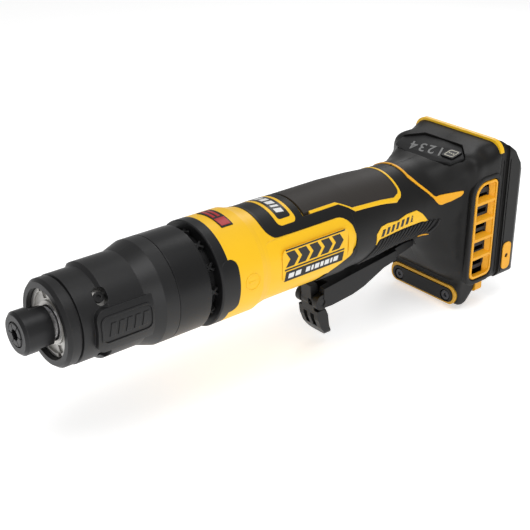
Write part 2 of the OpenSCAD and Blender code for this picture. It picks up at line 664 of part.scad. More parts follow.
// The panel lies on the slope between handle and foot, turned forward by panel_tilt
panel_at = [s_foot + 23, foot_up * 0.81 + 0.2];
panel_tilt = 11;
panel_pts = [[-7.5, -23.5], [2, -26], [11, -13], [11, 13], [2, 26], [-7.5, 23.5], [-12, 10], [-12, -10]];
module on_panel() translate([-panel_at[0], 0, panel_at[1]]) rotate([0, panel_tilt, 0]) children();
module panel_pocket() on_panel() translate([0, 0, -2.2]) linear_extrude(20)
    polygon([for (p = panel_pts) [-p[0] * 1.02, p[1] * 1.02]]);
button_y = 17.5;
button_half = 4.8;
module speed_panel() color([0.12, 0.12, 0.13]) on_panel() difference() {
    translate([0, 0, -2.2]) linear_extrude(1.6) polygon([for (p = panel_pts) [-p[0], p[1]]]);
    translate([0, button_y, -3]) linear_extrude(4)
        polygon(rounded(-button_half - 0.4, button_half + 0.4, -button_half - 0.4, button_half + 0.4, 1.6));
}
module speed_button() color([0.6, 0.6, 0.6]) on_panel() translate([0, button_y, -1.2]) linear_extrude(1.6)
    polygon(rounded(-button_half, button_half, -button_half, button_half, 1.4));

// ---------------------------------------------------------------- battery plate

// Slide-on battery interface: rail slots, grooves in the plate's flanks and the four contacts
slot_top = 6;
groove_s = [s_back + 2.2, s_back + 7];
contact_y = [-11, -5, 3, 9];
plate_side = [[s_back, foot_up - 0.5], [s_back + 3, foot_up - 1], [s_back + 12, foot_up - 8.5], [s_end,
    foot_up * 0.36],
    [s_end, -foot_down + 3], [s_end - 3, -foot_down - 0.5], [s_back, -foot_down]];
plate_plan = [[s_back - 1, hw + 1], [s_end - 5, hw + 1], [s_end + 1, hw - 1.8]];
module battery_plate() color([0.15, 0.15, 0.16]) difference() {
    intersection() {
        union() {
            face(rounded(-hw + 1, hw - 1, -foot_down - 1, foot_up, 8), s_back, s_back + 6);
            face(rounded(-hw - 0.5, hw + 0.5, -foot_down - 1, foot_up, 8), s_back + 6, s_end);
        }
        side(plate_side, -60, 60);
        plan(concat(plate_plan, back(flip(plate_plan))), -80, 60);
    }
    box(s_end - 13, s_end - 4.5, -rail_gap / 2 - 5, rail_gap / 2 + 5, -foot_down - 5, slot_top);
    box(s_end - 6, s_end + over, -rail_gap / 2, rail_gap / 2, -foot_down - 5, slot_top);
    both() for (s = groove_s) box(s, s + 1, hw - 1.6, hw + 2, -foot_down + 4, foot_up - 13);
}
module terminal_block() color([0.08, 0.08, 0.08]) difference() {
    box(s_end - 13, s_end - 5, -15, 15, -14, slot_top);
    for (y = contact_y) box(s_end - 13 - over, s_end - over, y, y + 2, -15, 3);
}
module terminals() color([0.8, 0.65, 0.3]) for (y = contact_y)
    box(s_end - 13, s_end - 6, y + 0.6, y + 1.4, -22, 2.8);

// ---------------------------------------------------------------- paddle and lock lever

paddle_pts = [[lever[0] + 1, -37.2], [s_handle + 18, -34], [s_handle + 48, -30.6], [pivot[0] - 6, -28],
    [pivot[0] - 3, -25], [pivot[0] + 3.5, -25], [pivot[0] + 3, -32], [pivot[0] - 14, -36.2],
        [pivot[0] - 26, -38.6],
    [pivot[0] - 44, -46.5], [pivot[0] - 54, -49], [lever[0] + 8, -50.8], [lever[0] + 1, -50.5]];
hub_w = 8.2;
module paddle() color([0.1, 0.1, 0.1]) difference() {
    union() {
        intersection() {
            side(paddle_pts, -paddle_w / 2, paddle_w / 2);
            union() {
                box(lever[0], pivot[0] - 15, -paddle_w / 2, paddle_w / 2, -60, -20);
                box(lever[0], pivot[0] + 10, -hub_w, hub_w, -60, -20);
            }
        }
        across(pivot[0], pivot[1], 4, -hub_w, hub_w);
        across(lever[0], lever[1], 5.2, -10, 10);
    }
    box(pivot[0] - 6, pivot[0] + 6, 3, 9, pivot[1] - 5, -18);
    across(pivot[0], pivot[1], pin_d / 2 + fit, -20, 20);
    across(lever[0], lever[1], pin_d / 2 + fit, -20, 20);
    box(lever[0] - 8, lever[0] + 8.5, -6, 6, -60, -30);
    side([[lever[0] + 14, -60], [lever[0] + 14, -40.5], [s_handle + 20, -38], [s_handle + 42, -36],
        [s_handle + 42, -60]], -paddle_w / 2 + 2.4, paddle_w / 2 - 2.4);
}
module paddle_pin() color([0.7, 0.7, 0.7]) across(pivot[0], pivot[1], pin_d / 2, -13.6, 11.8);

// The lever's fin: its thickness seen from the side, its height below the pin and its windows
fin_top = lever[1] - 5;
fin_low = lever[1] - 26;
fin_pts = [[lever[0] - 3, fin_top - 1.5], [lever[0] - 2, fin_top - 8], [lever[0] + 1, fin_top - 15],
    [lever[0] + 5.5, fin_low], [lever[0] + 10, fin_low], [lever[0] + 7.4, fin_top - 14],
    [lever[0] + 6.2, fin_top - 6], [lever[0] + 4, fin_top - 1.2]];
window_w = 3.6;
window_y = [-window_w - 1.4, 1.4];
module lock_lever() color([0.12, 0.12, 0.12]) difference() {
    union() {
        across(lever[0], lever[1], 4.6, -5.7, 5.7);
        side([[lever[0] - 4.5, lever[1] + 1], [lever[0] - 5.6, lever[1] + 11.2], [lever[0] + 0.2,
            lever[1] + 11.2],
            [lever[0] + 3, lever[1] + 1]], -4.5, 4.5);
        side([[lever[0] - 4.4, lever[1]], [lever[0] - 3, lever[1] - 7], [lever[0] + 4, lever[1] - 7],
            [lever[0] + 4.4, lever[1]]], -5.7, 5.7);
        intersection() {
            side(fin_pts, -fin_w / 2, fin_w / 2);
            face(rounded(-fin_w / 2, fin_w / 2, fin_low, fin_top + 3, 4), lever[0] - 8, lever[0] + 14);
        }
    }
    across(lever[0], lever[1], pin_d / 2 + fit, -20, 20);
    across(lever[0], lever[1], 4.8, 1.6, 5.8);
    for (y = window_y) box(lever[0] - 8, lever[0] + 14, y, y + window_w, fin_low + 7, fin_top - 4.5);
}
// A torsion spring on a cross pin: turned coils and one leg
module coil(at, y0, turns, wire, leg_dir) translate([-at[0], y0, at[1]]) union() {
    rotate([-90, 0, 0]) rotate_extrude($fn = 48) polygon(concat([[pin_d / 2 + 0.35, 0]],
        [for (i = [0:turns * 2]) [pin_d / 2 + (i % 2 == 0 ? 0.9 : 1.25), i * wire / 2]],
        [[pin_d / 2 + 0.35, turns * wire]]));
    rotate([0, leg_dir, 0]) translate([0, wire * 0.6, pin_d / 2 + 0.6]) cylinder(h = 1.5, r = 0.4, $fn = 24);
}
module paddle_spring() color([0.75, 0.75, 0.76]) coil(pivot, 3.4, 5, 0.9, 0);
module lock_spring() color([0.75, 0.75, 0.76]) coil(lever, 1.9, 4, 0.85, 110);
module lock_pin() color([0.7, 0.7, 0.7]) across(lever[0], lever[1], pin_d / 2, -9.9, 9.9);

collet();
collet_nut();
spindle();
coupler();
motor_shaft();
rotor_core();
rotor_magnets();
fan();
nose_plate();
nose_housing();
nose_screws();
front_bearing();
rear_spindle_bearing();
rubber_boot();
front_sleeve();
vent_cage();
front_ring();
motor_housing();
stator();
windings();
motor_bearing();
bearing_bracket();
hall_board();
top_overmold();
top_badge();
palm_panel();
palm_piping();
small_label();
side_labels();
handle_left();
handle_right();
grip_left();
grip_right();
flags();
rear_piping();
switch_module();
controller();
foot_strip();
vent_insert_left();
vent_insert_right();
vent_grilles();
side_patches();
bumper();
bumper_border();
bumper_screws();
shell_screws();
speed_panel();
speed_button();
battery_plate();
terminal_block();
terminals();
lower_tabs();
switch_plunger();
paddle();
paddle_pin();
paddle_spring();
lock_lever();
lock_pin();
lock_spring();
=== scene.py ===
import math

import bpy
from mathutils import Matrix, Vector


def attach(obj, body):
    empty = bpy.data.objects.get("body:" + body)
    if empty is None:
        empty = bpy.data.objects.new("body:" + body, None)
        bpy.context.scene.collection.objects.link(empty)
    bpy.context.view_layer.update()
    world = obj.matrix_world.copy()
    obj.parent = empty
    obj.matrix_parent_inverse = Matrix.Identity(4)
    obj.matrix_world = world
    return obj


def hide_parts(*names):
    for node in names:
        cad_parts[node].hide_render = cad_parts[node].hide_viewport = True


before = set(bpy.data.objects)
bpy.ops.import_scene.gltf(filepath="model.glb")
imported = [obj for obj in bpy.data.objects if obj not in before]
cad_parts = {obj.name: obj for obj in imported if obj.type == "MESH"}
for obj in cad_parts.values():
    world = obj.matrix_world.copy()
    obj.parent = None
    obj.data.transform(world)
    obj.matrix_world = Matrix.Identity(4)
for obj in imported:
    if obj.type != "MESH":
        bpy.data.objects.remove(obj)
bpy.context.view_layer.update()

# ------------------------------------------------------------------ studio
# A wide pale table that the tool hovers just above, lit by soft boxes: a big one
# overhead, one low at the tool's left side, and a narrow one for the rim light.
TABLE_HEIGHT = -0.0805
bpy.ops.object.select_all(action="DESELECT")
bpy.ops.mesh.primitive_plane_add(size=6, location=(-0.15, 0, TABLE_HEIGHT))
table_top = bpy.context.object
table_top.name = "table_top"
paper = bpy.data.materials.new("pale_paper")
paper.use_nodes = True
paper_face = paper.node_tree.nodes["Principled BSDF"]
paper_face.inputs["Base Color"].default_value = (0.9, 0.9, 0.9, 1)
paper_face.inputs["Roughness"].default_value = 0.9
paper_face.inputs["Emission Color"].default_value = (1, 1, 1, 1)
paper_face.inputs["Emission Strength"].default_value = 0.5
table_top.data.materials.append(paper)

white_room = bpy.data.worlds.new("white_room")
white_room.use_nodes = True
white_room.node_tree.nodes["Background"].inputs["Color"].default_value = (1, 1, 1, 1)
white_room.node_tree.nodes["Background"].inputs["Strength"].default_value = 0.42
bpy.context.scene.world = white_room
bpy.context.scene.view_settings.view_transform = "Standard"


def softbox(name, place, target, width, height, watts):
    bpy.ops.object.light_add(type="AREA", location=place)
    lamp = bpy.context.object
    lamp.name = name
    lamp.data.shape = "RECTANGLE"
    lamp.data.size = width
    lamp.data.size_y = height
    lamp.data.energy = watts
    lamp.rotation_euler = (Vector(target) - Vector(place)).to_track_quat("-Z", "Y").to_euler()


softbox("overhead_box", (-0.02, 0.25, 0.9), (-0.12, 0, 0), 0.8, 0.5, 4.4)
softbox("left_box", (0.15, 0.9, 0.25), (-0.15, 0, 0), 0.5, 0.5, 2.0)
softbox("rim_box", (-0.75, -0.35, 0.5), (-0.2, 0, 0), 0.2, 0.7, 1.2)

# the eye stands before the nose on the tool's left, above it, and looks back and down
backward = Vector((0.5756, 0.6914, 0.4368)).normalized()
rightward = Vector((-0.7685, 0.6398, 0)).normalized()
upward = backward.cross(rightward)
bpy.ops.object.camera_add(location=(0.2143, 0.4567, 0.2766))
eye = bpy.context.object
eye.rotation_euler = Matrix((rightward, upward, backward)).transposed().to_euler()
eye.data.sensor_width = 36
eye.data.lens = 74.7
eye.data.clip_start = 0.01
bpy.context.scene.camera = eye


# ------------------------------------------------------------------ collet and nut
# A slotted spring-steel collet for quarter-inch shanks, drawn into the spindle by a
# turned nut with two wrench flats. Both are black-oxide coated.
def finish(name, colour, rough, grain=2600, depth=0.15, mottle=0.25, metal=0.0, edge=0.0004, wear_and_highlight=0.06,
           brushed=None, gloss=0.32):
    """A moulded, cast or turned skin: mottled colour, fine grain, and soft edges with a paler line that is
    partly wear and dust and partly a painted highlight.
    """
    mat = bpy.data.materials.new(name)
    mat.use_nodes = True
    tree = mat.node_tree
    join = tree.links.new
    shader = tree.nodes["Principled BSDF"]
    shader.inputs["Metallic"].default_value = metal
    shader.inputs["Specular IOR Level"].default_value = 0.5 if metal else gloss
    # a slow cloud for the colour, and a fine grit for the gloss and the grain
    where = tree.nodes.new("ShaderNodeTexCoord")
    spread = tree.nodes.new("ShaderNodeMapping")
    if brushed:
        spread.inputs["Scale"].default_value = brushed
    join(where.outputs["Object"], spread.inputs["Vector"])
    cloud = tree.nodes.new("ShaderNodeTexNoise")
    cloud.inputs["Scale"].default_value = 45
    cloud.inputs["Detail"].default_value = 4
    join(where.outputs["Object"], cloud.inputs["Vector"])
    grit = tree.nodes.new("ShaderNodeTexNoise")
    grit.inputs["Scale"].default_value = grain
    grit.inputs["Detail"].default_value = 2
    join(spread.outputs["Vector"], grit.inputs["Vector"])
    # an edge is where the softened normal leaves the true one
    soft = tree.nodes.new("ShaderNodeBevel")
    soft.samples = 6
    soft.inputs["Radius"].default_value = edge
    skin = tree.nodes.new("ShaderNodeNewGeometry")
    bend = tree.nodes.new("ShaderNodeVectorMath")
    bend.operation = "DOT_PRODUCT"
    join(soft.outputs["Normal"], bend.inputs[0])
    join(skin.outputs["Normal"], bend.inputs[1])
    # the edges get a paler tint: partly wear and dust, partly a painted highlight
    edge_wear_and_highlight = tree.nodes.new("ShaderNodeMapRange")
    edge_wear_and_highlight.inputs["From Min"].default_value = 0.995
    edge_wear_and_highlight.inputs["From Max"].default_value = 0.85
    edge_wear_and_highlight.inputs["To Max"].default_value = wear_and_highlight
    join(bend.outputs["Value"], edge_wear_and_highlight.inputs["Value"])
    # colour
    tone = tree.nodes.new("ShaderNodeMix")
    tone.data_type = "RGBA"
    tone.inputs["A"].default_value = (*[c * (1 - mottle) for c in colour], 1)
    tone.inputs["B"].default_value = (*[min(1, c * (1 + mottle)) for c in colour], 1)
    join(cloud.outputs["Fac"], tone.inputs["Factor"])
    # mix the paler edge tint, wear together with a painted highlight, into the colour
    wear_and_highlight_tint = tree.nodes.new("ShaderNodeMix")
    wear_and_highlight_tint.data_type = "RGBA"
    wear_and_highlight_tint.inputs["B"].default_value = (*[min(1, c * 1.3 + 0.22) for c in colour], 1)
    join(edge_wear_and_highlight.outputs["Result"], wear_and_highlight_tint.inputs["Factor"])
    join(tone.outputs["Result"], wear_and_highlight_tint.inputs["A"])
    join(wear_and_highlight_tint.outputs["Result"], shader.inputs["Base Color"])
    # gloss and grain
    sheen = tree.nodes.new("ShaderNodeMapRange")
    sheen.inputs["To Min"].default_value = max(0.05, rough - 0.07)
    sheen.inputs["To Max"].default_value = min(1, rough + 0.07)
    join(grit.outputs["Fac"], sheen.inputs["Value"])
    join(sheen.outputs["Result"], shader.inputs["Roughness"])
    bump = tree.nodes.new("ShaderNodeBump")
    bump.inputs["Strength"].default_value = depth
    bump.inputs["Distance"].default_value = 0.0001
    join(grit.outputs["Fac"], bump.inputs["Height"])
    join(soft.outputs["Normal"], bump.inputs["Normal"])
    join(bump.outputs["Normal"], shader.inputs["Normal"])
    return mat


def dress(mat, *nodes):
    """Gives CAD nodes their finish."""
    for node in nodes:
        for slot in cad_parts[node].material_slots:
            slot.material = mat


nut_black = finish("nut_black_oxide", (0.02, 0.02, 0.021), rough=0.36, grain=3500, depth=0.1,
                   mottle=0.15, metal=0.55, edge=0.0003, wear_and_highlight=0.2)
dress(nut_black, "collet", "collet_nut")

# ------------------------------------------------------------------ spindle and bearings
# A ground steel spindle on two ball bearings, coupled to the motor's shaft by a steel
# sleeve. The bearings are pressed into the nose.
steel = finish("ground_steel", (0.55, 0.55, 0.57), rough=0.3, grain=2500, depth=0.2, mottle=0.08,
               metal=1, edge=0.0002, wear_and_highlight=0.2, brushed=(0.05, 1, 1))
dress(steel, "spindle", "coupler", "front_bearing", "rear_spindle_bearing")

# ------------------------------------------------------------------ nose
# A cast aluminium nose with a front plate, bright where the boot leaves it bare. Four
# blackened socket screws hold it to the sleeve; they get the dull black nylon finish,
# without a metal sheen, as painted shade of their deep holes.
cast = finish("cast_aluminium", (0.52, 0.51, 0.49), rough=0.42, grain=1800, depth=0.5, mottle=0.12,
              metal=1, edge=0.0003, wear_and_highlight=0.3)
black = finish("black_nylon", (0.006, 0.006, 0.0065), rough=0.42, grain=3000, depth=0.3, mottle=0.2)
dress(cast, "nose_plate", "nose_housing")
# the dull black nylon on the screws is painted shade of their deep holes
dress(black, "nose_screws")

# ------------------------------------------------------------------ rubber boot
# A soft rubber boot pushed over the nose, with slots for the screws. A raised frame
# with slanted ribs is moulded into the pad on each side.
boot = finish("boot_rubber", (0.0085, 0.0085, 0.009), rough=0.42, grain=2400, depth=0.3, mottle=0.2,
              gloss=0.36)
dress(boot, "rubber_boot")


def only(piece):
    bpy.ops.object.select_all(action="DESELECT")
    piece.select_set(True)
    bpy.context.view_layer.objects.active = piece


def joined(name, parts):
    only(parts[0])
    for part in parts[1:]:
        part.select_set(True)
    bpy.ops.object.join()
    parts[0].name = name
    return parts[0]


def rounded(a0, a1, b0, b1, r, n=6):
    """Corners of a rounded rectangle. r is one radius, or four from the upper right corner round."""
    r = r if isinstance(r, (tuple, list)) else (r,) * 4
    middles = [(a1 - r[0], b1 - r[0]), (a0 + r[1], b1 - r[1]), (a0 + r[2], b0 + r[2]), (a1 - r[3], b0 + r[3])]
    corners = []
    for quarter, (a, b) in enumerate(middles):
        for k in range(n + 1):
            turn = math.radians(90 * (quarter + k / n))
            corners.append((a + r[quarter] * math.cos(turn), b + r[quarter] * math.sin(turn)))
    return corners


def prism(name, points, start, end, way="Y"):
    """A flat outline in mm, pulled to a solid along way. It is drawn from the side (station, z), from
    above (station, y) or along the spindle (y, z); a station is the distance behind the collet's mouth."""
    bpy.ops.object.select_all(action="DESELECT")
    bpy.ops.mesh.primitive_circle_add(vertices=len(points), fill_type="NGON")
    piece = bpy.context.object
    piece.name = name
    for corner, (a, b) in zip(piece.data.vertices, points):
        corner.co = {"Y": (-a, start, b), "Z": (-a, b, start), "X": (-start, a, b)}[way]
        corner.co *= 0.001
    pull = (end - start) * 0.001
    bpy.ops.object.mode_set(mode="EDIT")
    bpy.ops.mesh.select_all(action="SELECT")
    bpy.ops.mesh.extrude_region_move(
        TRANSFORM_OT_translate={"value": {"Y": (0, pull, 0), "Z": (0, 0, pull), "X": (-pull, 0, 0)}[way]})
    bpy.ops.mesh.select_all(action="SELECT")
    bpy.ops.mesh.normals_make_consistent(inside=False)
    bpy.ops.object.mode_set(mode="OBJECT")
    return piece


def slanted(s0, s1, z0, z1, lean, y0, y1):
    """A parallelogram that leans to the rear at its top."""
    return prism("mark", [(s0, z0), (s1, z0), (s1 + lean, z1), (s0 + lean, z1)], y0, y1)


def cut(piece, tool):
    """Cuts piece with tool, which is used up."""
    only(piece)
    blade = piece.modifiers.new("cut", "BOOLEAN")
    blade.operation = "DIFFERENCE"
    blade.solver = "EXACT"
    blade.object = tool
    bpy.ops.object.modifier_apply(modifier="cut")
    bpy.data.objects.remove(tool, do_unlink=True)


def wrapped(piece, radius, top=False, cuts=7):
    """Bends a flat piece, drawn at the surface's crest, round the spindle axis."""
    only(piece)
    bpy.ops.object.mode_set(mode="EDIT")
    bpy.ops.mesh.select_all(action="SELECT")
    bpy.ops.mesh.quads_convert_to_tris()
    bpy.ops.mesh.subdivide(number_cuts=cuts)
    bpy.ops.object.mode_set(mode="OBJECT")
    for corner in piece.data.vertices:
        if top:
            rise, turn = corner.co.z, corner.co.y / radius
            corner.co.y, corner.co.z = rise * math.sin(turn), rise * math.cos(turn)
        else:
            rise, turn = corner.co.y, corner.co.z / radius
            corner.co.z, corner.co.y = rise * math.sin(turn), rise * math.cos(turn)
    return piece


def smoothed(piece, angle=40):
    only(piece)
    bpy.ops.object.shade_smooth_by_angle(angle=math.radians(angle))


def turn_faces(piece):
    """Turns every face the other way, so that it points outward again."""
    only(piece)
    bpy.ops.object.mode_set(mode="EDIT")
    bpy.ops.mesh.select_all(action="SELECT")
    bpy.ops.mesh.flip_normals()
    bpy.ops.object.mode_set(mode="OBJECT")


def right_hand(piece, name):
    """The mirrored piece of the right-hand side, as its own mesh."""
    only(piece)
    bpy.ops.object.duplicate()
    twin = bpy.context.object
    twin.name = name
    for corner in twin.data.vertices:
        corner.co.y *= -1
    turn_faces(twin)
    return twin


def fitted(piece, mat, node=None, body="housing"):
    """Gives a finished piece its skin and its body, and hides the CAD node that it stands for."""
    piece.data.materials.clear()
    piece.data.materials.append(mat)
    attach(piece, body)
    if node:
        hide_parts(node)


def both_sides(left, mat, nodes=(None, None), smooth=None):
    """Fits a left-hand piece and its mirrored twin."""
    if smooth:
        smoothed(left, smooth)
    right = right_hand(left, left.name.replace("left", "right"))
    if smooth:
        smoothed(right, smooth)
    for piece, node in zip((left, right), nodes):
        fitted(piece, mat, node)
    return left, right


PAD_ROUND = 0.0282  # radius of the pad, in metres
badge = prism("badge", rounded(34.5, 66.5, -7.5, 8.5, 4), 27.9, 28.75)
cut(badge, prism("badge_hollow", rounded(35.6, 65.4, -6.4, 7.4, 3.2), 20, 40))
parts = [badge] + [slanted(s, s + 3.1, -3.2, 4.2, 1.6, 27.9, 28.6) for s in (39, 44, 49, 54, 59)]
both_sides(wrapped(joined("boot_badge_left", parts), PAD_ROUND, cuts=3), boot, smooth=40)

# ------------------------------------------------------------------ front sleeve, vent ring and pads
# A black nylon sleeve behind the boot, a ring of crossed webs that lets the fan's air
# out, and a ring with a pad on each side that holds the yellow housing's front edge.
sleeve_black = finish("sleeve_nylon", (0.005, 0.005, 0.0055), rough=0.36, grain=3000, depth=0.2,
                      mottle=0.2)
dress(sleeve_black, "front_sleeve")
dress(black, "vent_cage", "front_ring")

# ------------------------------------------------------------------ motor
# A brushless motor: a magnet rotor on a ground shaft in a laminated stator with copper
# windings, a nylon fan, a bracket for the bearing and a sensor board.
copper = finish("enamelled_copper", (0.6, 0.25, 0.1), rough=0.3, grain=2000, depth=0.4, mottle=0.1,
                metal=1)
board = finish("board_green", (0.01, 0.1, 0.04), rough=0.4)
dress(steel, "motor_shaft", "motor_bearing", "rotor_core", "rotor_magnets", "stator")
dress(copper, "windings")
dress(board, "hall_board")
dress(black, "fan", "bearing_bracket")

# ------------------------------------------------------------------ yellow housing
# One moulding of glass-filled nylon round the motor. A plain ring with a short bar in
# it is moulded on each flank.
yellow = finish("yellow_nylon", (0.9, 0.52, 0.012), rough=0.38, grain=3000, depth=0.12, mottle=0.03,
                metal=0, edge=0.0005, wear_and_highlight=0.1)
dress(yellow, "motor_housing")
HOUSING_ROUND = 0.0315  # radius of the housing's front part, in metres
bpy.ops.object.select_all(action="DESELECT")
bpy.ops.mesh.primitive_torus_add(major_radius=0.0050, minor_radius=0.00032, major_segments=64,
                                 minor_segments=10, location=(-0.1312, 0.03155, 0),
                                 rotation=(math.pi / 2, 0, 0))
boss = bpy.context.object
bpy.ops.object.transform_apply(location=True, rotation=True, scale=True)
boss = joined("flank_ring_left", [boss, prism("mark", rounded(128.4, 134, -0.7, 0.7, 0.6), 31.3, 31.75)])
both_sides(wrapped(boss, HOUSING_ROUND, cuts=2), yellow, smooth=40)

# ------------------------------------------------------------------ labels
# Printed film in shallow recesses of the housing. Each side label has two lines, a row
# of blocks and a black strip with white bars; the small one has a red field and lines.
ink = finish("black_ink", (0.012, 0.012, 0.013), rough=0.3, grain=3000, depth=0.05)
white = finish("white_ink", (0.75, 0.75, 0.74), rough=0.35, grain=3000, depth=0.05, mottle=0.03)
red = finish("label_red", (0.4, 0.015, 0.02), rough=0.3, grain=3000, depth=0.05, mottle=0.05)
dress(yellow, "side_labels")
dress(black, "small_label")
# inner and outer face of the printed film, and of the bars on its strip
PRINT = (29.3, 29.58)
BARS = (29.5, 29.66)
parts = [slanted(156.6, 203, 10.3, 11.3, 0.1, *PRINT), slanted(156.2, 203, -2.1, -1.1, 0.1, *PRINT),
         slanted(155.8, 201.5, -8.8, -2.9, 1.4, *PRINT)]
BLOCKS, BLOCK_PITCH = 5, 8.9
for k in range(BLOCKS):
    s = 157.0 + BLOCK_PITCH * k
    parts.append(prism("mark", [(s, -0.1), (s + 6.3, -0.1), (s + 9.6, 4.6), (s + 6.3, 9.4), (s, 9.4),
                                (s + 3.3, 4.6)], *PRINT))
both_sides(joined("side_print_left", parts), ink)
parts = [slanted(s, s + width, -7.3, -4.4, 0.8, *BARS) for s, width in (
    (158.6, 4.2), (164.0, 4.2), (172.0, 3.2), (176.2, 1.8), (179.0, 3.4), (183.4, 2.4), (186.8, 3.4),
    (191.2, 1.6), (193.8, 3.6))]
both_sides(joined("side_bars_left", parts), white)
field = prism("sticker_red", [(124, 5.4), (131, 5.4), (131, 12.2), (124.7, 12.2)], 31.8, 32.0, "Z")
fitted(wrapped(field, HOUSING_ROUND, True, 15), red)
parts = [prism("mark", [(s, -7.8), (s + 1.9, -7.8), (s + 1.9, 3.8), (s, 3.8)], 31.8, 31.98, "Z")
         for s in (124.6, 128.0)]
fitted(wrapped(joined("sticker_lines", parts), HOUSING_ROUND, True, 9), red)

# ------------------------------------------------------------------ rubber top and palm panel
# Soft rubber moulded over the housing's back, a palm panel in a brown-black rubber with
# a yellow line round it, and a badge: white bars on black in a yellow frame.
grip = finish("grip_rubber", (0.0075, 0.0073, 0.007), rough=0.46, grain=2600, depth=0.3, mottle=0.2,
              gloss=0.24)
palm = finish("palm_rubber", (0.033, 0.029, 0.026), rough=0.55, grain=2200, depth=0.4, mottle=0.12,
              gloss=0.2)
dress(grip, "top_overmold")
dress(palm, "palm_panel")
dress(yellow, "palm_piping", "top_badge")
TOP_ROUND = 0.0292  # radius of the rubber under the badge, in metres
field = prism("badge_field", rounded(162.2, 171.6, -17.4, 17.4, 1.6), 29.1, 29.42, "Z")
fitted(wrapped(field, TOP_ROUND, True, 15), ink)
parts = [prism("mark", [(164.2, y), (164.2, y + w), (169.4, y + w + 0.9), (169.4, y + 0.9)], 29.3, 29.5, "Z")
         for y, w in ((-13.6, 3.4), (-8.6, 2.2), (-4.8, 3.6), (0.4, 3.6), (5.6, 1.8), (9, 3.4))]
fitted(wrapped(joined("badge_bars", parts), TOP_ROUND, True, 5), white)

# ------------------------------------------------------------------ handle shells
# Two glass-filled nylon half shells with a rubber skin, moulded as mirror pairs and
# screwed together from the right: a round grip that swells into the battery foot,
# with a toe below it, a window for the vent and a sunk deck for the speed panel.
SHELL_FRONT, SHELL_BACK = 201.5, 336.8
# station and radius of the grip
GRIP_LINE = [(201.5, 29.0), (217.5, 29.0), (239.5, 28.1), (256.5, 26.8), (291.5, 26.8)]
# station, half width, bottom, top and corner radius of the foot
FOOT_LINE = [(276, 26.8, -26.8, 26.8, 26.7), (286, 26.9, -27.8, 26.9, 25), (294.5, 28.6, -38.5, 28.2, 21),
             (303, 31.9, -53.0, 29.8, 17), (308.5, 33.9, -57.8, 30.8, 14), (312.2, 37.1, -60.2, 31.6, 12),
             (322, 37.5, -62, 33.8, 10.5), (336.8, 37.5, -63, 36.9, 9)]
# soft folds: hollows beside the deck and before the vent, swellings between them, as
# station, y, z, push outward and reach
FOLDS = ((325, 33, 33, -2.0, 6), (314, 33, 25, 1.1, 5), (303, 27, 22, -1.2, 6), (306, 33, -12, -1.5, 7),
         (306, 33, -26, -1.6, 7), (306.5, 33, -40, -1.4, 7), (296, 30, -30, 1.0, 8), (300, 30, -56, -1.2, 6),
         (318, 0, 34, -0.8, 9), (296, 12, 28, -0.7, 6))


def along(table, s, column):
    """The table's value at station s, on a smooth curve through its rows."""
    if s <= table[0][0]:
        return table[0][column]
    for k in range(len(table) - 1):
        if s <= table[k + 1][0]:
            a, b = table[k], table[k + 1]
            before = table[max(k - 1, 0)]
            after = table[min(k + 2, len(table) - 1)]
            span = b[0] - a[0]
            t = (s - a[0]) / span
            rise_a = (b[column] - before[column]) / max(b[0] - before[0], 1e-6) * span
            rise_b = (after[column] - a[column]) / max(after[0] - a[0], 1e-6) * span
            return ((2 * t**3 - 3 * t**2 + 1) * a[column] + (t**3 - 2 * t**2 + t) * rise_a
                    + (3 * t**2 - 2 * t**3) * b[column] + (t**3 - t**2) * rise_b)
    return table[-1][column]


def shell_point(s, t, grow=0.0):
    """The y and z of the shells' skin at station s. t runs from 0 below, over the left flank, to 1 on top."""
    if s <= FOOT_LINE[0][0]:
        r = along(GRIP_LINE, s, 1) + grow
        turn = math.pi * (t - 0.5)
        return r * math.cos(turn), r * math.sin(turn)
    width, low, high, corner = [along(FOOT_LINE, s, k) for k in (1, 2, 3, 4)]
    width, low, high = width + grow, low - grow, high + grow
    corner = min(corner + grow, width - 0.05)
    flat = width - corner
    flank = max(high - low - 2 * corner, 0)
    bow = math.pi / 2 * corner
    d = t * (2 * flat + 2 * bow + flank)
    if d < flat:
        return d, low
    d -= flat
    if d < bow:
        return flat + corner * math.sin(d / corner), low + corner - corner * math.cos(d / corner)
    d -= bow
    if d < flank:
        return width, low + corner + d
    d -= flank
    if d < bow:
        return flat + corner * math.cos(d / corner), high - corner + corner * math.sin(d / corner)
    return flat - (d - bow), high


def sheet(name, rows, columns, place, depth):
    """A wall laid out in mm. place(u, v) gives the station, y and z of its skin, where u runs from its
    front edge to its rear edge and v from its lower to its upper edge; the depth goes inward."""
    bpy.ops.object.select_all(action="DESELECT")
    bpy.ops.mesh.primitive_grid_add(x_subdivisions=rows, y_subdivisions=columns, size=1)
    wall = bpy.context.object
    wall.name = name
    for corner in wall.data.vertices:
        s, y, z = place(0.5 - corner.co.x, 0.5 + corner.co.y)
        corner.co = (-s * 0.001, y * 0.001, z * 0.001)
    turn_faces(wall)
    thick = wall.modifiers.new("thick", "SOLIDIFY")
    thick.thickness = depth * 0.001
    thick.offset = -1
    bpy.ops.object.modifier_apply(modifier="thick")
    return wall


def rounding(piece, width, segments=3, angle=35):
    only(piece)
    edge = piece.modifiers.new("rounding", "BEVEL")
    edge.width = width
    edge.segments = segments
    edge.limit_method = "ANGLE"
    edge.angle_limit = math.radians(angle)
    bpy.ops.object.modifier_apply(modifier="rounding")


def shell_place(u, v):
    # the wall runs a little past the middle, below and on top, and is trimmed there
    s = SHELL_FRONT + u * (SHELL_BACK - SHELL_FRONT)
    return s, *shell_point(s, (v - 0.5) * 1.03 + 0.5)


